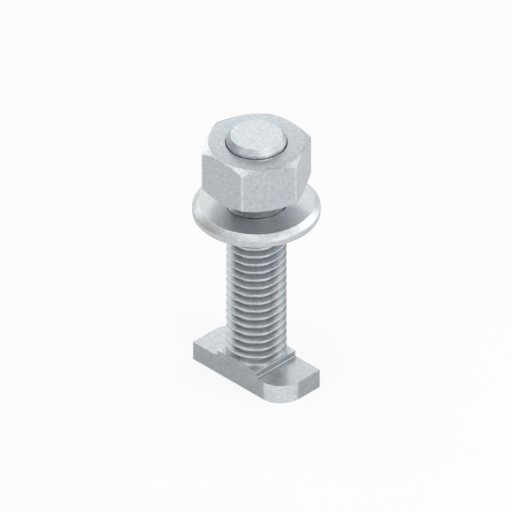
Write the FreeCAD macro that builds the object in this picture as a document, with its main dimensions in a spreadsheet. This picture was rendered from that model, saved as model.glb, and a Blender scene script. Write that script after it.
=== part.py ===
# T slot bolt with its plain washer and hexagon nut, M8 x 1.25, right hand
import FreeCAD, Part
import os
import Sketcher
from math import ceil, floor

os.makedirs("parts", exist_ok=True)
doc = FreeCAD.newDocument("TSlotBolt")

# Driving dimensions in millimetres: name, value, what it is
driving_dimensions = [
    ("headLength", 16.4, "hammer head from tip to tip, along X"),
    ("headWidth", 7.3, "hammer head across, along Y"),
    ("wingThickness", 2.8, "the two wings that grip under the lips of the slot"),
    ("platformLength", 7.3, "raised middle that stands between the lips, along X"),
    ("platformRise", 0.9, "height of the raised middle over the wings"),
    ("stepFillet", 0.4, "forged radius at the foot of the raised middle"),
    ("turningRadius", 3.4, "two opposite corners, round so that the head turns in its slot"),
    ("shankRadius", 4.0, "over the thread crests"),
    ("shankLength", 34.85, "from the raised middle to the end"),
    ("threadPitch", 1.25, "climb of the right-hand thread in one turn"),
    ("threadDepth", 0.40, "from crest to root, a light version of the rolled thread's 0.77"),
    ("threadPhase", 0.486, "height of a crest on the +X side over the head's base, less whole pitches"),
    ("footTaper", 0.4, "run-in of the first thread where it meets the head"),
    ("endChamferDepth", 0.75, "lead-in at the end, along the shank"),
    ("endChamferInset", 0.53, "lead-in at the end, across the shank"),
    ("washerRadius", 8.5, "washer, outside"),
    ("washerThickness", 1.6, "washer"),
    ("washerBevel", 0.8, "bevel on the washer's upper edge"),
    ("washerPlay", 0.2, "radial room of the washer round the shank"),
    ("nutAcrossFlats", 13.0, "spanner size"),
    ("nutThickness", 6.8, "hexagon nut"),
    ("nutCrownRadius", 6.4, "circle where the corner chamfer meets the nut's end face"),
    ("nutChamferAngle", 30.0, "slope of the corner chamfer, in degrees"),
    ("nutCountersink", 0.12, "bevel at both mouths of the nut's hole"),
    ("threadPlay", 0.05, "radial room of the nut over the thread crests"),
    ("endStandout", 1.15, "height of the shank's end over the nut"),
    ("washerDrop", 2.75, "gap from the nut down to the loose washer"),
]

size = {name: value for name, value, _ in driving_dimensions}

sheet = doc.addObject("Spreadsheet::Sheet", "Sizes")
for row, (name, value, meaning) in enumerate(driving_dimensions, start=1):
    sheet.set(f"A{row}", meaning)
    sheet.set(f"B{row}", str(value))
    sheet.setAlias(f"B{row}", name)
doc.recompute()

# Heights over the head's base that more than one feature uses
platform_top = "(Sizes.wingThickness + Sizes.platformRise)"
shank_end = f"({platform_top} + Sizes.shankLength)"
nut_underside = f"({shank_end} - Sizes.endStandout - Sizes.nutThickness)"
washer_underside = f"({nut_underside} - Sizes.washerDrop - Sizes.washerThickness)"


def new_body(label, height="0"):
    """A body that stands at a height over the head's base."""
    body = doc.addObject("PartDesign::Body", label)
    body.Label = label
    body.setExpression("Placement.Base.z", height)
    return body


def new_sketch(body, name, plane_role):
    """A sketch on one of the body's own origin planes."""
    sketch = body.newObject("Sketcher::SketchObject", name)
    plane = next(feature for feature in body.Origin.OriginFeatures if feature.Role == plane_role)
    sketch.AttachmentSupport = [(plane, "")]
    sketch.MapMode = "FlatFace"
    return sketch


def hold_corner(sketch, edge, direction, distance):
    """Hold an edge's start at a distance from the sketch's origin, or on its axis."""
    if distance == "0":
        axis = -2 if direction == "DistanceX" else -1
        sketch.addConstraint(Sketcher.Constraint("PointOnObject", edge, 1, axis))
    else:
        held = sketch.addConstraint(Sketcher.Constraint(direction, -1, 1, edge, 1, 1.0))
        sketch.setExpression(f"Constraints[{held}]", distance)


def draw_outline(sketch, corners):
    """A closed outline of straight edges, whose corners are pairs of expressions."""
    first = sketch.GeometryCount
    count = len(corners)
    # rough places only: the constraints pull each corner to its own
    rough = [FreeCAD.Vector(i, i * i, 0) for i in range(count)]
    for i in range(count):
        sketch.addGeometry(Part.LineSegment(rough[i], rough[(i + 1) % count]), False)
    for i in range(count):
        following = first + (i + 1) % count
        sketch.addConstraint(Sketcher.Constraint("Coincident", first + i, 2, following, 1))
    for i, (across, up) in enumerate(corners):
        hold_corner(sketch, first + i, "DistanceX", across)
        hold_corner(sketch, first + i, "DistanceY", up)


def draw_rectangle(sketch, length, width):
    """A rectangle centred on the sketch's origin."""
    draw_outline(sketch, [
        (f"-{length} / 2", f"-{width} / 2"),
        (f"{length} / 2", f"-{width} / 2"),
        (f"{length} / 2", f"{width} / 2"),
        (f"-{length} / 2", f"{width} / 2"),
    ])


def pad(body, name, sketch, height):
    feature = body.newObject("PartDesign::Pad", name)
    feature.Profile = sketch
    feature.setExpression("Length", height)
    doc.recompute()


def full_turn(body, kind, name, sketch):
    """A Revolution or a Groove about the sketch's upright axis."""
    feature = body.newObject(f"PartDesign::{kind}", name)
    feature.Profile = sketch
    feature.ReferenceAxis = (sketch, ["V_Axis"])
    feature.Angle = 360
    uncut = body.Shape.Volume if kind == "Groove" else float("inf")
    doc.recompute()
    if feature.Shape.Volume >= uncut:
        raise RuntimeError(f"{name} cuts nothing")


def round_edges(body, name, radius, wanted):
    """Fillet the edges of the body's present solid whose middle and direction pass the test."""
    base = body.Tip
    chosen = []
    for number, edge in enumerate(base.Shape.Edges, start=1):
        middle = (edge.FirstParameter + edge.LastParameter) / 2
        if wanted(edge.valueAt(middle), edge.tangentAt(middle)):
            chosen.append(f"Edge{number}")
    feature = body.newObject("PartDesign::Fillet", name)
    feature.Base = (base, chosen)
    feature.setExpression("Radius", radius)
    doc.recompute()


def thread_helix(radius, height):
    """One turn of a right-hand helix that starts on the +X side."""
    edge = Part.makeHelix(size["threadPitch"], size["threadPitch"], radius).Edges[0]
    edge.Placement.Base.z = height
    return edge


def make_threaded_rod(low, high):
    """A rod that is threaded past both heights, with two ruled flanks in each turn."""
    pitch, crest, phase = size["threadPitch"], size["shankRadius"], size["threadPhase"]
    root = crest - size["threadDepth"]
    turns = ceil((high - low) / pitch) + 3
    start = phase + (floor((low - phase) / pitch) - 1.5) * pitch
    roots = [thread_helix(root, start + turn * pitch) for turn in range(turns + 1)]
    crests = [thread_helix(crest, start + (turn + 0.5) * pitch) for turn in range(turns)]
    faces = []
    for turn in range(turns):
        faces.append(Part.makeRuledSurface(roots[turn], crests[turn]))
        faces.append(Part.makeRuledSurface(crests[turn], roots[turn + 1]))
    # each end is a spiral ramp down to the axis and an upright face on the +X side
    for end in (roots[0], roots[-1]):
        foot = end.Placement.Base.z
        axis = Part.makeLine(FreeCAD.Vector(0, 0, foot), FreeCAD.Vector(0, 0, foot + pitch))
        faces.append(Part.makeRuledSurface(axis, end))
        profile = [(0, 0), (root, 0), (crest, pitch / 2), (root, pitch), (0, pitch), (0, 0)]
        faces.append(Part.Face(Part.makePolygon([FreeCAD.Vector(x, 0, foot + z) for x, z in profile])))
    skin = Part.makeCompound(faces)
    skin.sewShape()
    rod = doc.addObject("Part::Feature", "ThreadedRod")
    rod.Shape = Part.makeSolid(skin.Shells[0])
    return rod


def make_bolt():
    """Hammer head and shank, forged and rolled as one piece."""
    body = new_body("t_bolt")
    foot = size["wingThickness"] + size["platformRise"]
    body.BaseFeature = make_threaded_rod(foot, foot + size["shankLength"])
    doc.recompute()

    clear = "(Sizes.shankRadius + 1)"
    spare = "4 * Sizes.threadPitch"
    section = new_sketch(body, "ShankEndsSection", "XZ_Plane")
    draw_outline(section, [
        ("0", shank_end),
        ("Sizes.shankRadius - Sizes.endChamferInset", shank_end),
        (clear, f"{shank_end} - Sizes.endChamferDepth * (1 + 1 / Sizes.endChamferInset)"),
        (clear, f"{shank_end} + {spare}"),
        ("0", f"{shank_end} + {spare}"),
    ])
    draw_outline(section, [
        ("0", platform_top),
        ("Sizes.shankRadius - Sizes.footTaper", platform_top),
        (clear, f"{platform_top} + Sizes.footTaper + 1"),
        (clear, f"{platform_top} - {spare}"),
        ("0", f"{platform_top} - {spare}"),
    ])
    full_turn(body, "Groove", "ShankEnds", section)

    slab = new_sketch(body, "WingOutline", "XY_Plane")
    draw_rectangle(slab, "Sizes.headLength", "Sizes.headWidth")
    pad(body, "Wings", slab, "Sizes.wingThickness")
    # the corners that lead when the head is turned a quarter turn clockwise in its slot
    round_edges(body, "TurningCorners", "Sizes.turningRadius",
                lambda point, along: abs(along.z) > 0.9 and point.x * point.y < 0)

    middle = new_sketch(body, "PlatformOutline", "XY_Plane")
    draw_rectangle(middle, "Sizes.platformLength", "Sizes.headWidth")
    pad(body, "Platform", middle, platform_top)
    round_edges(body, "StepFillets", "Sizes.stepFillet",
                lambda point, along: abs(along.y) > 0.9
                and abs(abs(point.x) - size["platformLength"] / 2) < 0.01
                and abs(point.z - size["wingThickness"]) < 0.01)
    return body


def make_washer():
    """Turned washer, bevelled on its upper edge."""
    body = new_body("flat_washer", washer_underside)
    section = new_sketch(body, "WasherSection", "XZ_Plane")
    draw_outline(section, [
        ("Sizes.shankRadius + Sizes.washerPlay", "0"),
        ("Sizes.washerRadius", "0"),
        ("Sizes.washerRadius", "Sizes.washerThickness - Sizes.washerBevel"),
        ("Sizes.washerRadius - Sizes.washerBevel", "Sizes.washerThickness"),
        ("Sizes.shankRadius + Sizes.washerPlay", "Sizes.washerThickness"),
    ])
    full_turn(body, "Revolution", "Ring", section)
    return body


def make_nut():
    """Hexagon nut, with a corner on the X axis and both end faces chamfered."""
    body = new_body("hex_nut", nut_underside)

    hexagon = new_sketch(body, "HexagonOutline", "XY_Plane")
    corner = "Sizes.nutAcrossFlats / sqrt(3)"
    half_flats = "Sizes.nutAcrossFlats / 2"
    draw_outline(hexagon, [
        (corner, "0"),
        (f"{corner} / 2", half_flats),
        (f"-{corner} / 2", half_flats),
        (f"-{corner}", "0"),
        (f"-{corner} / 2", f"-{half_flats}"),
        (f"{corner} / 2", f"-{half_flats}"),
    ])
    pad(body, "Hexagon", hexagon, "Sizes.nutThickness")

    beyond = "(Sizes.nutAcrossFlats / sqrt(3) + 1)"
    fall = f"({beyond} - Sizes.nutCrownRadius) * tan(Sizes.nutChamferAngle * 1 deg)"
    chamfers = new_sketch(body, "CornerChamferSection", "XZ_Plane")
    draw_outline(chamfers, [
        ("Sizes.nutCrownRadius", "Sizes.nutThickness"),
        (beyond, "Sizes.nutThickness"),
        (beyond, f"Sizes.nutThickness - {fall}"),
    ])
    draw_outline(chamfers, [
        ("Sizes.nutCrownRadius", "0"),
        (beyond, "0"),
        (beyond, fall),
    ])
    full_turn(body, "Groove", "CornerChamfers", chamfers)

    hole = new_sketch(body, "HoleSection", "XZ_Plane")
    bore = "Sizes.shankRadius + Sizes.threadPlay"
    draw_outline(hole, [
        ("0", "0"),
        (f"{bore} + Sizes.nutCountersink", "0"),
        (bore, "Sizes.nutCountersink"),
        (bore, "Sizes.nutThickness - Sizes.nutCountersink"),
        (f"{bore} + Sizes.nutCountersink", "Sizes.nutThickness"),
        ("0", "Sizes.nutThickness"),
    ])
    full_turn(body, "Groove", "ThreadHole", hole)
    return body


pieces = [make_bolt(), make_washer(), make_nut()]
doc.recompute()

for feature in doc.Objects:
    if "Invalid" in feature.State or "Error" in feature.State:
        raise RuntimeError(f"{feature.Name} failed: {feature.State}")

for piece in pieces:
    solid = piece.Shape
    if solid.isNull() or not solid.isValid() or len(solid.Solids) != 1:
        raise RuntimeError(f"{piece.Label} isn't one valid solid")
    solid.exportStep(f"parts/{piece.Label}.step")
    heights = [vertex.Z for vertex in solid.Vertexes]
    low, high = min(heights), max(heights)
    print(f"{piece.Label}: {solid.Volume:.1f} mm3, from {low:.2f} to {high:.2f} mm up")
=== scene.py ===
# T slot bolt with its washer and nut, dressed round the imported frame
from math import cos, pi, radians, sin, sqrt, tan

import bmesh
import bpy
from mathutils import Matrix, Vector


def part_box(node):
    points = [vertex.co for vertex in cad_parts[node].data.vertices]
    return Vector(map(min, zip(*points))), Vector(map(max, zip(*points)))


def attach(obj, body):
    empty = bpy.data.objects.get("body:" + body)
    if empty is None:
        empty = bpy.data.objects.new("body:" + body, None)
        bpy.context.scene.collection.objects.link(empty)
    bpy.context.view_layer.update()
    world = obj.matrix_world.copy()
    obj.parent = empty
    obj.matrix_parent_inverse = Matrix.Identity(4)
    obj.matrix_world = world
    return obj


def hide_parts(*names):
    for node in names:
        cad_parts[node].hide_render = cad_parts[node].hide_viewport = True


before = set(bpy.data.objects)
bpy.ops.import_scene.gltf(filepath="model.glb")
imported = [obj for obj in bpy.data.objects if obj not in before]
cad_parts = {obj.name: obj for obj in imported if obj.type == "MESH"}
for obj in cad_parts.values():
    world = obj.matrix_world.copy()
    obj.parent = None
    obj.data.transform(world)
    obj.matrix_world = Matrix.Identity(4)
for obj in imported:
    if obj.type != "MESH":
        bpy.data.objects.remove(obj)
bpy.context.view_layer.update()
mm = 0.001      # sizes are in millimetres, and angles in degrees
spare = 1.0     # how far a cutting shape reaches past the piece


def boxOf(node):
    # a node's lowest and highest corners at rest, in millimetres
    return [[round(value / mm, 3) for value in corner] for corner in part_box(node)]


def newObject(name, data):
    obj = bpy.data.objects.new(name, data)
    bpy.context.scene.collection.objects.link(obj)
    return obj


def soften(corners, radii, steps=4):
    # a closed outline with some of its corners made round
    outline = []
    for i, corner in enumerate(corners):
        radius = radii.get(i, 0)
        here = Vector(corner)
        if not radius:
            outline.append(here)
            continue
        before = (Vector(corners[i - 1]) - here).normalized()
        after = (Vector(corners[(i + 1) % len(corners)]) - here).normalized()
        half = before.angle(after) / 2
        centre = here + (before + after).normalized() * radius / sin(half)
        start = here + before * radius / tan(half) - centre
        end = here + after * radius / tan(half) - centre
        turn = start.angle_signed(end)
        for step in range(steps + 1):
            angle = -turn * step / steps
            outline.append(centre + Vector((start.x * cos(angle) - start.y * sin(angle),
                                            start.x * sin(angle) + start.y * cos(angle))))
    return outline


def finishMesh(name, form):
    # turns the faces outward and makes an object of them
    bmesh.ops.recalc_face_normals(form, faces=form.faces)
    mesh = bpy.data.meshes.new(name)
    form.to_mesh(mesh)
    form.free()
    return newObject(name, mesh)


def lathe(name, outline, segments=192):
    # turns a closed outline of (radius, height) about the Z axis
    form = bmesh.new()
    rings = []
    for radius, height in outline:
        if radius == 0:
            rings.append([form.verts.new((0, 0, height * mm))])
            continue
        rings.append([form.verts.new((radius * mm * cos(2 * pi * k / segments),
                                      radius * mm * sin(2 * pi * k / segments), height * mm))
                      for k in range(segments)])
    for lower, upper in zip(rings, rings[1:] + rings[:1]):
        for k in range(segments):
            following = (k + 1) % segments
            corners = [lower[k % len(lower)], lower[following % len(lower)],
                       upper[following % len(upper)], upper[k % len(upper)]]
            corners = list(dict.fromkeys(corners))
            if len(corners) > 2:
                form.faces.new(corners)
    return finishMesh(name, form)


def prism(name, outline, low, high, plane):
    # extrudes a closed outline along Z (plane "xy"), along Y ("xz") or along X ("yz")
    form = bmesh.new()
    place = {"xy": lambda p, t: (p[0] * mm, p[1] * mm, t * mm),
             "xz": lambda p, t: (p[0] * mm, t * mm, p[1] * mm),
             "yz": lambda p, t: (t * mm, p[0] * mm, p[1] * mm)}[plane]
    ends = [[form.verts.new(place(point, t)) for point in outline] for t in (low, high)]
    form.faces.new(ends[0])
    form.faces.new(ends[1][::-1])
    for k in range(len(outline)):
        following = (k + 1) % len(outline)
        form.faces.new([ends[0][k], ends[0][following], ends[1][following], ends[1][k]])
    return finishMesh(name, form)


def settle(obj):
    # turns the modifiers' result into the object's own plain mesh
    depsgraph = bpy.context.evaluated_depsgraph_get()
    mesh = bpy.data.meshes.new_from_object(obj.evaluated_get(depsgraph))
    obj.modifiers.clear()
    old = obj.data
    obj.data = mesh
    mesh.name = obj.name
    if old.users == 0:
        bpy.data.meshes.remove(old)


def combine(obj, tool, operation):
    modifier = obj.modifiers.new("combine", "BOOLEAN")
    modifier.operation = operation
    modifier.solver = "MANIFOLD"        # the exact solver gives another mesh from run to run
    modifier.object = tool
    settle(obj)
    bpy.data.objects.remove(tool)


def breakEdges(obj, width, angle=40):
    modifier = obj.modifiers.new("tumbled", "BEVEL")
    modifier.width = width * mm
    modifier.segments = 2
    modifier.limit_method = "ANGLE"
    modifier.angle_limit = radians(angle)
    settle(obj)


def smoothFaces(obj, material, angle=34):
    mesh = obj.data
    mesh.materials.clear()
    mesh.materials.append(material)
    mesh.shade_smooth()
    mesh.set_sharp_from_angle(angle=radians(angle))
    modifier = obj.modifiers.new("flats", "WEIGHTED_NORMAL")
    modifier.keep_sharp = True
    modifier.weight = 100
    settle(obj)


def wire(tree, kind, *values, **settings):
    # adds a node, gives it numbers or links in order, and returns it
    node = tree.nodes.new(kind)
    for key, value in settings.items():
        setattr(node, key, value)
    for socket, value in zip(node.inputs, values):
        if isinstance(value, bpy.types.NodeSocket):
            tree.links.new(value, socket)
        elif value is not None:
            socket.default_value = value
    return node


def reckon(tree, operation, *values):
    return wire(tree, "ShaderNodeMath", *values, operation=operation).outputs[0]


def addSockets(tree, way, kind, *names):
    for name in names:
        tree.interface.new_socket(name, in_out=way, socket_type="NodeSocket" + kind)


# rolled thread of the shank, and the nut's thread that runs on it
thread = {
    "pitch": 1.25,
    "crestRadius": 4.0,
    "rootRounding": 0.18,       # radius of the rolled root
    "crestHeight": 0.486,       # height of a crest on the +X side, less whole pitches
    "room": 0.05,               # radial room of the nut's thread over the bolt's
    "columns": 96,              # points in a turn
    "rows": 16,                 # points in a pitch
    "coreRadius": 2.0,          # rows past either end fold in to this
}


def makeThreadTree():
    # a closed rod with a helical thread: one long strip of rows that climbs a pitch in each turn
    tree = bpy.data.node_groups.new("rolledThread", "GeometryNodeTree")
    addSockets(tree, "INPUT", "Geometry", "Geometry")
    addSockets(tree, "INPUT", "Float", "Pitch", "Crest Radius", "Root Rounding", "Start", "Low", "High",
               "Core Radius", "Fade Low", "Fade High")
    addSockets(tree, "INPUT", "Int", "Columns", "Rows In A Pitch", "Turns")
    addSockets(tree, "INPUT", "Material", "Material")
    addSockets(tree, "OUTPUT", "Geometry", "Geometry")
    given = tree.nodes.new("NodeGroupInput").outputs
    result = tree.nodes.new("NodeGroupOutput")

    rows = reckon(tree, "MULTIPLY", given["Rows In A Pitch"], given["Turns"])
    strip = wire(tree, "GeometryNodeMeshGrid", 1.0, 1.0,
                 reckon(tree, "ADD", given["Columns"], 1.0), reckon(tree, "ADD", rows, 1.0))
    onStrip = tree.nodes.new("GeometryNodeInputPosition").outputs[0]
    place = wire(tree, "ShaderNodeSeparateXYZ", onStrip).outputs
    turn = reckon(tree, "ADD", place["X"], 0.5)
    row = reckon(tree, "ROUND", reckon(tree, "MULTIPLY", reckon(tree, "ADD", place["Y"], 0.5), rows))
    along = reckon(tree, "DIVIDE", row, given["Rows In A Pitch"])      # in pitches, a crest at each whole one
    height = reckon(tree, "MULTIPLY_ADD", reckon(tree, "ADD", along, turn), given["Pitch"], given["Start"])

    # flat crest an eighth of a pitch wide, flanks at 60 degrees, round root
    halfCrest = 1 / 16          # in pitches, along the axis
    flankHeight = 5 / 16
    flankSlope = sqrt(3)
    fromCrest = reckon(tree, "PINGPONG", along, 0.5)
    down = reckon(tree, "MULTIPLY", reckon(tree, "SUBTRACT", fromCrest, halfCrest), given["Pitch"])
    flank = reckon(tree, "SUBTRACT", given["Crest Radius"],
                   reckon(tree, "MULTIPLY", reckon(tree, "MAXIMUM", down, 0.0), flankSlope))
    flankDepth = reckon(tree, "MULTIPLY", given["Pitch"], flankHeight * flankSlope)
    rounding = given["Root Rounding"]
    rootCentre = reckon(tree, "SUBTRACT",
                        reckon(tree, "MULTIPLY_ADD", rounding, 0.5, given["Crest Radius"]), flankDepth)
    fromRoot = reckon(tree, "MULTIPLY", reckon(tree, "SUBTRACT", 0.5, fromCrest), given["Pitch"])
    inside = reckon(tree, "MINIMUM", reckon(tree, "DIVIDE", fromRoot, rounding), 1.0)
    sag = reckon(tree, "SQRT", reckon(tree, "SUBTRACT", 1.0, reckon(tree, "MULTIPLY", inside, inside)))
    root = reckon(tree, "SUBTRACT", rootCentre, reckon(tree, "MULTIPLY", sag, rounding))
    full = reckon(tree, "MAXIMUM", flank, root)
    # the groove is gone below Fade Low and above Fade High
    fading = reckon(tree, "MAXIMUM", reckon(tree, "SUBTRACT", given["Fade Low"], height),
                    reckon(tree, "SUBTRACT", height, given["Fade High"]))
    filled = reckon(tree, "ADD", given["Crest Radius"], reckon(tree, "MINIMUM", fading, 0.0))
    profile = reckon(tree, "MAXIMUM", full, filled)

    # outside Low and High the strip folds into two flat ends
    clamped = reckon(tree, "MINIMUM", reckon(tree, "MAXIMUM", height, given["Low"]), given["High"])
    past = reckon(tree, "ABSOLUTE", reckon(tree, "SUBTRACT", clamped, height))
    moved = reckon(tree, "GREATER_THAN", past, 1e-9)
    ends = reckon(tree, "MAXIMUM", reckon(tree, "LESS_THAN", row, 0.5),
                  reckon(tree, "GREATER_THAN", row, reckon(tree, "SUBTRACT", rows, 0.5)))
    core = reckon(tree, "MULTIPLY", given["Core Radius"], reckon(tree, "SUBTRACT", 1.0, ends))
    radius = reckon(tree, "ADD", reckon(tree, "MULTIPLY", moved, core),
                    reckon(tree, "MULTIPLY", reckon(tree, "SUBTRACT", 1.0, moved), profile))
    angle = reckon(tree, "MULTIPLY", turn, 2 * pi)
    point = wire(tree, "ShaderNodeCombineXYZ",
                 reckon(tree, "MULTIPLY", radius, reckon(tree, "COSINE", angle)),
                 reckon(tree, "MULTIPLY", radius, reckon(tree, "SINE", angle)), clamped)
    wound = wire(tree, "GeometryNodeSetPosition", strip.outputs[0], None, point.outputs[0])
    # the strip's sides meet a pitch apart, and both ends close
    closed = tree.nodes.new("GeometryNodeMergeByDistance")
    tree.links.new(wound.outputs[0], closed.inputs["Geometry"])
    closed.inputs["Distance"].default_value = 1e-7
    real = wire(tree, "GeometryNodeRealizeInstances", closed.outputs[0])
    dressed = tree.nodes.new("GeometryNodeSetMaterial")
    tree.links.new(real.outputs[0], dressed.inputs["Geometry"])
    tree.links.new(given["Material"], dressed.inputs["Material"])
    tree.links.new(dressed.outputs[0], result.inputs["Geometry"])
    return tree


threadTree = makeThreadTree()


def makeThread(name, low, high, material, room=0, fadeLow=-99, fadeHigh=99):
    # the thread from low to high, wider by room all round
    pitch = thread["pitch"]
    runOut = 2      # whole turns below low, which fold into the end
    start = thread["crestHeight"] + pitch * ((low - runOut * pitch - thread["crestHeight"]) // pitch)
    values = {
        "Pitch": pitch * mm, "Crest Radius": (thread["crestRadius"] + room) * mm,
        "Root Rounding": thread["rootRounding"] * mm, "Start": start * mm,
        "Low": low * mm, "High": high * mm, "Core Radius": thread["coreRadius"] * mm,
        "Fade Low": fadeLow * mm, "Fade High": fadeHigh * mm,
        "Columns": thread["columns"], "Rows In A Pitch": thread["rows"],
        "Turns": int((high - start) / pitch) + runOut + 1, "Material": material,
    }
    obj = newObject(name, bpy.data.meshes.new(name))
    modifier = obj.modifiers.new("thread", "NODES")
    modifier.node_group = threadTree
    for item in threadTree.interface.items_tree:
        if item.in_out == "INPUT" and item.name in values:
            modifier[item.identifier] = values[item.name]
    settle(obj)
    return obj


boltCorner = boxOf("t_bolt")[1]
bolt = {
    "headLength": 2 * boltCorner[0], "headWidth": 7.3,
    "wingThickness": 2.8,
    "platformLength": 7.3, "platformTop": 3.7,      # the raised middle of the head
    "stepFillet": 0.25, "turningRadius": 3.4,
    "edgeBreak": 0.05,                              # tumbled edges of the head
    "footTop": 4.0, "footInset": 0.02,              # the foot keeps within the sides of the raised middle
    "threadStart": 3.95, "threadEnd": 37.35,        # where the groove is all gone
    "chamferStart": 37.8, "endRadius": 3.47, "end": boltCorner[2],
}


def makeHead():
    # the wings and the raised middle, cut from a stepped bar by the outline seen from above
    length, width = bolt["headLength"] / 2, bolt["headWidth"] / 2
    middle, wing, top = bolt["platformLength"] / 2, bolt["wingThickness"], bolt["platformTop"]
    beyond = length + spare
    step = soften([(-beyond, 0), (beyond, 0), (beyond, wing), (middle, wing), (middle, top),
                   (-middle, top), (-middle, wing), (-beyond, wing)],
                  {3: bolt["stepFillet"], 6: bolt["stepFillet"]}, steps=8)
    outline = soften([(-length, -width), (length, -width), (length, width), (-length, width)],
                     {1: bolt["turningRadius"], 3: bolt["turningRadius"]}, steps=28)
    head = prism("tSlotBolt", outline, -spare, top + spare, "xy")
    combine(head, prism("steppedBar", step, -width - spare, width + spare, "xz"), "INTERSECT")
    breakEdges(head, bolt["edgeBreak"])
    return head


def makeBolt(material):
    head = makeHead()
    crest, end = thread["crestRadius"], bolt["end"]
    shank = makeThread("shank", bolt["wingThickness"] - spare, end + spare, material,
                       fadeLow=bolt["threadStart"], fadeHigh=bolt["threadEnd"])
    stem = bolt["platformTop"] - spare      # the blank cuts the shank here, inside the head
    low = stem - spare
    # the cone at the end of the blank runs on past the crests
    clear = crest + spare
    coneFall = (end - bolt["chamferStart"]) / (crest - bolt["endRadius"]) * spare
    blank = lathe("blank", [(0, stem), (clear, stem), (clear, bolt["chamferStart"] - coneFall),
                            (bolt["endRadius"], end), (0, end)])
    # the trim goes straight up to footTop and opens at 45 degrees over it
    side, foot = bolt["headWidth"] / 2 - bolt["footInset"], bolt["footTop"]
    out = clear + spare
    opened = foot + out - side
    trim = [(-side, low), (side, low), (side, foot), (out, opened), (out, end + spare),
            (-out, end + spare), (-out, opened), (-side, foot)]
    for plane in ("xz", "yz"):
        combine(blank, prism("trim", trim, -out, out, plane), "INTERSECT")
    combine(shank, blank, "INTERSECT")
    combine(head, shank, "UNION")
    smoothFaces(head, material)
    return head


washerLow, washerHigh = boxOf("flat_washer")
washer = {
    "holeRadius": 4.2, "radius": washerHigh[0],
    "underside": washerLow[2], "top": washerHigh[2],
    "bevel": 0.8, "edgeBreak": 0.06,
}


def makeWasher(material):
    hole, rim, bevel = washer["holeRadius"], washer["radius"], washer["bevel"]
    low, high = washer["underside"], washer["top"]
    corners = [(hole, low), (rim, low), (rim, high - bevel), (rim - bevel, high), (hole, high)]
    outline = soften(corners, dict.fromkeys(range(5), washer["edgeBreak"]))
    ring = lathe("flatWasher", outline, segments=256)
    smoothFaces(ring, material)
    return ring


nutLow, nutHigh = boxOf("hex_nut")
nut = {
    "acrossFlats": 2 * nutHigh[1], "underside": nutLow[2], "top": nutHigh[2],
    "crownRadius": 6.4, "chamferAngle": 30.0,
    "mouthRadius": 4.17,        # countersink where it meets the end face
    "cornerRounding": 0.14, "crownRounding": 0.07,
}


def makeNut(material):
    low, high, mouth = nut["underside"], nut["top"], nut["mouthRadius"]
    corner = nut["acrossFlats"] / sqrt(3)
    hexagon = [(corner * cos(radians(60 * k)), corner * sin(radians(60 * k))) for k in range(6)]
    outline = soften(hexagon, dict.fromkeys(range(6), nut["cornerRounding"]))
    body = prism("hexNut", outline, low - spare, high + spare, "xy")
    # the crown chamfers both ends
    reach = corner + spare
    fall = (reach - nut["crownRadius"]) * tan(radians(nut["chamferAngle"]))
    crown = soften([(0, low), (nut["crownRadius"], low), (reach, low + fall),
                    (reach, high - fall), (nut["crownRadius"], high), (0, high)],
                   {1: nut["crownRounding"], 4: nut["crownRounding"]})
    combine(body, lathe("crown", crown), "INTERSECT")
    tap = makeThread("tap", low - spare, high + spare, material, room=thread["room"])
    combine(body, tap, "DIFFERENCE")
    over = spare / 2
    for face, way in ((low, -1), (high, 1)):
        cone = [(0, face - way * mouth), (mouth + over, face + way * over), (0, face + way * over)]
        combine(body, lathe("countersink", cone, segments=96), "DIFFERENCE")
    smoothFaces(body, material)
    return body


# blotches, grains and drifts of hue in the plating
grain = {
    "blotchSize": 0.5, "grainSize": 0.2, "hueSize": 4.5,
    "coolTint": (0.86, 0.95, 1.06), "warmTint": (1.03, 0.97, 0.97),
    "coolBelow": 0.35, "warmAbove": 0.68,       # values of the hue noise
    "blotchHeight": 0.4,                        # next to a grain's height of 1
    "reliefStrength": 0.15, "reliefDepth": 0.02,
}


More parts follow.
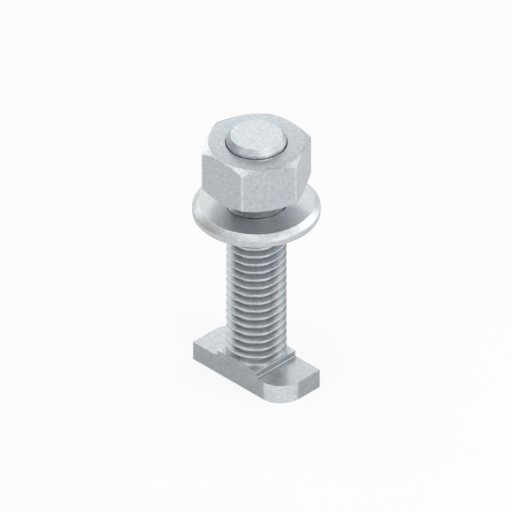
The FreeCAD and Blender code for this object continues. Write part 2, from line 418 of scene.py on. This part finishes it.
def makeGrainGroup():
    # plated zinc: fine grain, soft mottling and a faint shift of hue from the passivation
    group = bpy.data.node_groups.new("zincGrain", "ShaderNodeTree")
    addSockets(group, "INPUT", "Color", "Tone")
    addSockets(group, "INPUT", "Float", "Mottle", "Grain", "Hue Shift", "Roughness", "Roughness Spread")
    addSockets(group, "OUTPUT", "Color", "Color")
    addSockets(group, "OUTPUT", "Float", "Roughness", "Height")
    given = group.nodes.new("NodeGroupInput").outputs
    result = group.nodes.new("NodeGroupOutput").inputs
    place = group.nodes.new("ShaderNodeTexCoord").outputs["Object"]

    def noise(size, detail, roughness=0.5):
        node = group.nodes.new("ShaderNodeTexNoise")
        group.links.new(place, node.inputs["Vector"])
        node.inputs["Scale"].default_value = 1 / (size * mm)
        node.inputs["Detail"].default_value = detail
        node.inputs["Roughness"].default_value = roughness
        return node.outputs["Fac"]

    blotches = noise(grain["blotchSize"], 2)
    grains = noise(grain["grainSize"], 2, 0.6)
    hues = noise(grain["hueSize"], 1)
    uneven = reckon(group, "SUBTRACT", blotches, 0.5)
    # both noises as a signed change of brightness
    change = reckon(group, "ADD", reckon(group, "MULTIPLY", uneven, given["Mottle"]),
                    reckon(group, "MULTIPLY", reckon(group, "SUBTRACT", grains, 0.5), given["Grain"]))
    bright = reckon(group, "ADD", change, 1.0)
    tinted = group.nodes.new("ShaderNodeValToRGB")
    cool, warm = tinted.color_ramp.elements
    cool.position, cool.color = grain["coolBelow"], (*grain["coolTint"], 1)
    warm.position, warm.color = grain["warmAbove"], (*grain["warmTint"], 1)
    tinted.color_ramp.elements.new(0.5).color = (1, 1, 1, 1)
    group.links.new(hues, tinted.inputs["Fac"])
    shift = group.nodes.new("ShaderNodeMix")
    shift.data_type = "RGBA"
    shift.blend_type = "MULTIPLY"
    shift.clamp_result = False
    sockets = {socket.identifier: socket for socket in (*shift.inputs, *shift.outputs)}
    group.links.new(given["Hue Shift"], sockets["Factor_Float"])
    group.links.new(given["Tone"], sockets["A_Color"])
    group.links.new(tinted.outputs["Color"], sockets["B_Color"])
    scaled = wire(group, "ShaderNodeVectorMath", sockets["Result_Color"], operation="SCALE")
    group.links.new(bright, scaled.inputs["Scale"])
    group.links.new(scaled.outputs[0], result["Color"])
    rough = reckon(group, "MULTIPLY_ADD", uneven, given["Roughness Spread"], given["Roughness"])
    group.links.new(rough, result["Roughness"])
    group.links.new(reckon(group, "MULTIPLY_ADD", blotches, grain["blotchHeight"], grains), result["Height"])
    return group


zincGrain = makeGrainGroup()


def measure(tree, kind, x, y, z):
    # what the bounds of a place are given in
    if kind == "height":
        return z
    if kind == "radius":
        return reckon(tree, "SQRT", reckon(tree, "MULTIPLY_ADD", x, x, reckon(tree, "MULTIPLY", y, y)))
    if kind == "along":
        return reckon(tree, "ABSOLUTE", x)
    if kind == "across":        # the head's halves are alike by a half turn
        return reckon(tree, "MULTIPLY", y, reckon(tree, "SIGN", x))
    # "flat": from the axis, square to the nearest of the nut's flats
    flat = reckon(tree, "ABSOLUTE", y)
    for lean in (0.5, -0.5):
        slanted = reckon(tree, "MULTIPLY_ADD", x, sqrt(3) / 2, reckon(tree, "MULTIPLY", y, lean))
        flat = reckon(tree, "MAXIMUM", flat, reckon(tree, "ABSOLUTE", slanted))
    return flat


def findPlaces(tree, places):
    # each place's value and mask; a bound is (kind, where it begins to show, where it shows in full)
    position = tree.nodes.new("ShaderNodeTexCoord").outputs["Object"]
    point = wire(tree, "ShaderNodeSeparateXYZ", position).outputs
    axes = [reckon(tree, "DIVIDE", point[axis], mm) for axis in "XYZ"]
    kinds = {kind for value, bounds in places for kind, faint, full in bounds}
    found = {kind: measure(tree, kind, *axes) for kind in sorted(kinds)}
    masks = []
    for value, bounds in places:
        mask = 1.0
        for kind, faint, full in bounds:
            # rises to the mask so far, so that it is 1 only inside all bounds
            mask = wire(tree, "ShaderNodeMapRange", found[kind], faint, full, 0.0, mask,
                        interpolation_type="SMOOTHSTEP").outputs[0]
        masks.append((value, mask))
    return masks


def makeZinc(name, tone, finish, paintedLight, worked=()):
    # the brightness given for each place is painted highlight and painted shade, and worked gives the
    # roughness of each part from the head up
    material = bpy.data.materials.new(name)
    material.use_nodes = True
    tree = material.node_tree
    metal = tree.nodes["Principled BSDF"]
    surface = tree.nodes.new("ShaderNodeGroup")
    surface.node_tree = zincGrain
    for socket, value in finish.items():
        surface.inputs[socket].default_value = value

    # painted light and shade: these gains scale the tone place by place
    gain = 1.0
    for brightness, mask in findPlaces(tree, paintedLight.values()):
        gain = reckon(tree, "MULTIPLY_ADD", mask, brightness - 1, gain)
    paintedTone = wire(tree, "ShaderNodeVectorMath", tone, operation="SCALE")
    tree.links.new(gain, paintedTone.inputs["Scale"])
    tree.links.new(paintedTone.outputs[0], surface.inputs["Tone"])
    if worked:
        rough = before = finish["Roughness"]
        for value, mask in findPlaces(tree, worked):
            rough = reckon(tree, "MULTIPLY_ADD", mask, value - before, rough)
            before = value
        tree.links.new(rough, surface.inputs["Roughness"])

    relief = tree.nodes.new("ShaderNodeBump")
    relief.inputs["Strength"].default_value = grain["reliefStrength"]
    relief.inputs["Distance"].default_value = grain["reliefDepth"] * mm
    tree.links.new(surface.outputs["Height"], relief.inputs["Height"])
    tree.links.new(surface.outputs["Color"], metal.inputs["Base Color"])
    tree.links.new(surface.outputs["Roughness"], metal.inputs["Roughness"])
    tree.links.new(relief.outputs["Normal"], metal.inputs["Normal"])
    metal.inputs["Metallic"].default_value = 1
    return material


zinc = {"Mottle": 0.5, "Grain": 0.4, "Hue Shift": 0.25, "Roughness": 0.4, "Roughness Spread": 0.1}


def makeBoltZinc():
    # painted highlights and painted shade, place by place, over the bolt's zinc
    end, cone, tip = bolt["end"], bolt["chamferStart"], bolt["endRadius"]
    wing, raised, middle = bolt["wingThickness"], bolt["platformTop"], bolt["platformLength"] / 2
    crest, start = thread["crestRadius"], bolt["threadStart"]
    turnX = bolt["headLength"] / 2 - bolt["turningRadius"]
    turnY = bolt["turningRadius"] - bolt["headWidth"] / 2
    onThread = [("height", start - 0.1, start), ("height", cone, cone - 0.1)]
    underRaised = ("height", raised + 0.15, raised + 0.05)
    paintedLight = {
        # painted highlight: the end face made much lighter
        "endFace": (2.0, [("height", end - 0.08, end - 0.02)]),
        # painted highlight on the chamfer ring at the end
        "endChamfer": (1.34, [("height", cone - 0.1, cone), ("height", end - 0.02, end - 0.08)]),
        # painted shade: a dark line where the end face meets the chamfer
        "endEdge": (0.75, [("radius", tip - 0.06, tip - 0.01), ("radius", tip + 0.08, tip + 0.03),
                           ("height", cone, cone + 0.2)]),
        # painted light: the threaded length made a little lighter
        "rolled": (1.05, onThread),
        # painted highlight along the crests of the thread
        "crest": (1.4, [*onThread, ("radius", crest - 0.08, crest - 0.03)]),
        # painted shade down in the thread's roots
        "groove": (0.85, [*onThread, ("radius", crest - 0.3, crest - 0.5)]),
        # painted light on the tops of the wings
        "wingTop": (1.48, [("height", wing - 0.08, wing - 0.02), ("height", wing + 0.4, wing + 0.1),
                           ("along", middle - 0.05, middle + 0.75)]),
        # painted highlight on the two rounded corners of the head
        "turningCorner": (1.62, [("along", turnX - 0.1, turnX + 0.5), ("across", turnY + 0.1, turnY - 0.5),
                                 ("height", wing - 0.02, wing - 0.06)]),
        # painted light on the top of the raised middle
        "platform": (1.75, [("height", raised - 0.04, raised - 0.01), underRaised]),
        # painted shade round the foot of the shank on the raised middle
        "foot": (0.6, [("radius", crest + 0.8, crest + 0.3), ("height", raised - 0.04, raised - 0.01),
                       ("height", raised + 0.3, raised + 0.1)]),
        # painted highlight along the top edges of the steps
        "stepEdge": (1.4, [("height", raised - 0.14, raised - 0.08), underRaised,
                           ("along", middle - 0.14, middle - 0.08)]),
    }
    # rolling burnishes the thread, and the end that is cut on a lathe scatters more light
    worked = [(0.36, [("height", start - 0.1, start)]), (0.5, [("height", cone - 0.1, cone)])]
    # the bolt's zinc is toned darker than the nut's and the washer's: painted shade
    return makeZinc("boltZinc", (0.410, 0.430, 0.443), zinc, paintedLight, worked)


def makeWasherZinc():
    # painted shade on the outer rim
    rim = washer["radius"]
    paintedLight = {"rim": (0.76, [("radius", rim - 0.08, rim - 0.03)])}
    # the washer's zinc is toned lighter than the nut's: painted light
    return makeZinc("washerZinc", (0.740, 0.764, 0.779), {**zinc, "Mottle": 0.35}, paintedLight)


def makeNutZinc():
    # painted shade on the flat sides, and painted highlights on the upright edges
    side, corner = nut["acrossFlats"] / 2, nut["acrossFlats"] / sqrt(3)
    paintedLight = {
        "side": (0.8, [("flat", side - 0.06, side - 0.02)]),
        "edge": (1.15, [("radius", corner - 0.13, corner - 0.08)]),
    }
    return makeZinc("nutZinc", (0.641, 0.670, 0.690), zinc, paintedLight)


tSlotBolt = makeBolt(makeBoltZinc())
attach(tSlotBolt, "bolt")
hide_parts("t_bolt")
print(f"bolt: {len(tSlotBolt.data.polygons)} faces")

flatWasher = makeWasher(makeWasherZinc())
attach(flatWasher, "washer")
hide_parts("flat_washer")
print(f"washer: {len(flatWasher.data.polygons)} faces")

hexNut = makeNut(makeNutZinc())
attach(hexNut, "nut")
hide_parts("hex_nut")
print(f"nut: {len(hexNut.data.polygons)} faces")


def towards(azimuth, elevation):
    # azimuth is counted from +X to +Y
    a, e = radians(azimuth), radians(elevation)
    return Vector((cos(a) * cos(e), sin(a) * cos(e), sin(e)))


def placeRound(obj, aim, azimuth, elevation, distance):
    # faces the aim from that side
    way = towards(azimuth, elevation)
    obj.location = (Vector(aim) + way * distance) * mm
    obj.rotation_euler = way.to_track_quat("Z", "Y").to_euler()


def shareOfWhite(tree, toCamera, inMetal):
    # by the kind of ray: straight from the camera, or mirrored by metal
    rays = tree.nodes.new("ShaderNodeLightPath").outputs
    mirrored = reckon(tree, "MAXIMUM", rays["Is Glossy Ray"], rays["Is Transmission Ray"])
    return reckon(tree, "MAXIMUM", reckon(tree, "MULTIPLY", rays["Is Camera Ray"], toCamera),
                  reckon(tree, "MULTIPLY", mirrored, inMetal))


# pale floor, part plain white and for the rest lit and shadowed
ground = {
    "radius": 600, "drop": 0.01, "sides": 64,
    "colour": 0.95, "whiteToCamera": 0.8, "whiteInMetal": 0.35,
}
floorMesh = bpy.data.meshes.new("floor")
reach, sides = ground["radius"] * mm, ground["sides"]
rim = [(reach * cos(2 * pi * k / sides), reach * sin(2 * pi * k / sides), -ground["drop"] * mm)
       for k in range(sides)]
floorMesh.from_pydata(rim, [], [tuple(range(sides))])
floor = newObject("floor", floorMesh)
paper = bpy.data.materials.new("paleFloor")
paper.use_nodes = True
tree = paper.node_tree
tree.nodes.clear()
output = tree.nodes.new("ShaderNodeOutputMaterial")
matt = tree.nodes.new("ShaderNodeBsdfDiffuse")
matt.inputs["Color"].default_value = (*[ground["colour"]] * 3, 1)
white = tree.nodes.new("ShaderNodeEmission")
share = shareOfWhite(tree, ground["whiteToCamera"], ground["whiteInMetal"])
mixed = wire(tree, "ShaderNodeMixShader", share, matt.outputs[0], white.outputs[0])
tree.links.new(mixed.outputs[0], output.inputs["Surface"])
floorMesh.materials.append(paper)

# world, white to the camera and dim to the object
surroundings = {"strength": 0.22, "whiteToCamera": 1.0, "whiteInMetal": 0.06}
world =bpy.data.worlds.new("studio")
bpy.context.scene.world = world
world.use_nodes = True
tree = world.node_tree
sky = tree.nodes["Background"]
sky.inputs["Color"].default_value = (1, 1, 1, 1)
share = shareOfWhite(tree, surroundings["whiteToCamera"], surroundings["whiteInMetal"])
dim = surroundings["strength"]
tree.links.new(reckon(tree, "MULTIPLY_ADD", share, 1 - dim, dim), sky.inputs["Strength"])

# round soft boxes, aimed at the middle of the bolt: azimuth, elevation, width, watts
softBoxes = {
    "sideLow": (-90, 5, 300, 0.38), "frontLow": (-30, 5, 300, 0.42),
    "rightLow": (60, 5, 300, 0.242), "backLow": (90, 5, 300, 0.042),
    "left": (180, 25, 200, 0.127), "right": (0, 25, 200, 0.241),
    "back": (120, 25, 200, 0.077), "backLeft": (150, 25, 200, 0.101),
    "rightHigh": (60, 45, 200, 0.142), "leftTop": (-150, 65, 200, 0.108),
    "sideTop": (-120, 65, 200, 0.035), "frontTop": (-60, 65, 200, 0.097),
}
lampAim = (0, 0, 19)
lampDistance = 300
for name, (azimuth, elevation, width, power) in softBoxes.items():
    lamp = bpy.data.lights.new(name, "AREA")
    lamp.shape = "DISK"
    lamp.size = width * mm
    lamp.energy = power
    lampObject = newObject(name, lamp)
    placeRound(lampObject, lampAim, azimuth, elevation, lampDistance)
    lampObject.visible_camera = False

# camera of a true isometric view
framing = {
    "azimuth": -45, "elevation": 35.264, "distance": 400,
    "aim": (-0.0392, -0.0392, 18.929), "width": 67.635,
}
view = bpy.data.cameras.new("view")
view.type = "ORTHO"
view.ortho_scale = framing["width"] * mm
view.clip_start = 0.01
view.clip_end = 10
camera = newObject("view", view)
placeRound(camera, framing["aim"], framing["azimuth"], framing["elevation"], framing["distance"])
bpy.context.scene.camera = camera
bpy.context.scene.view_settings.view_transform = "Standard"
print("studio ready")
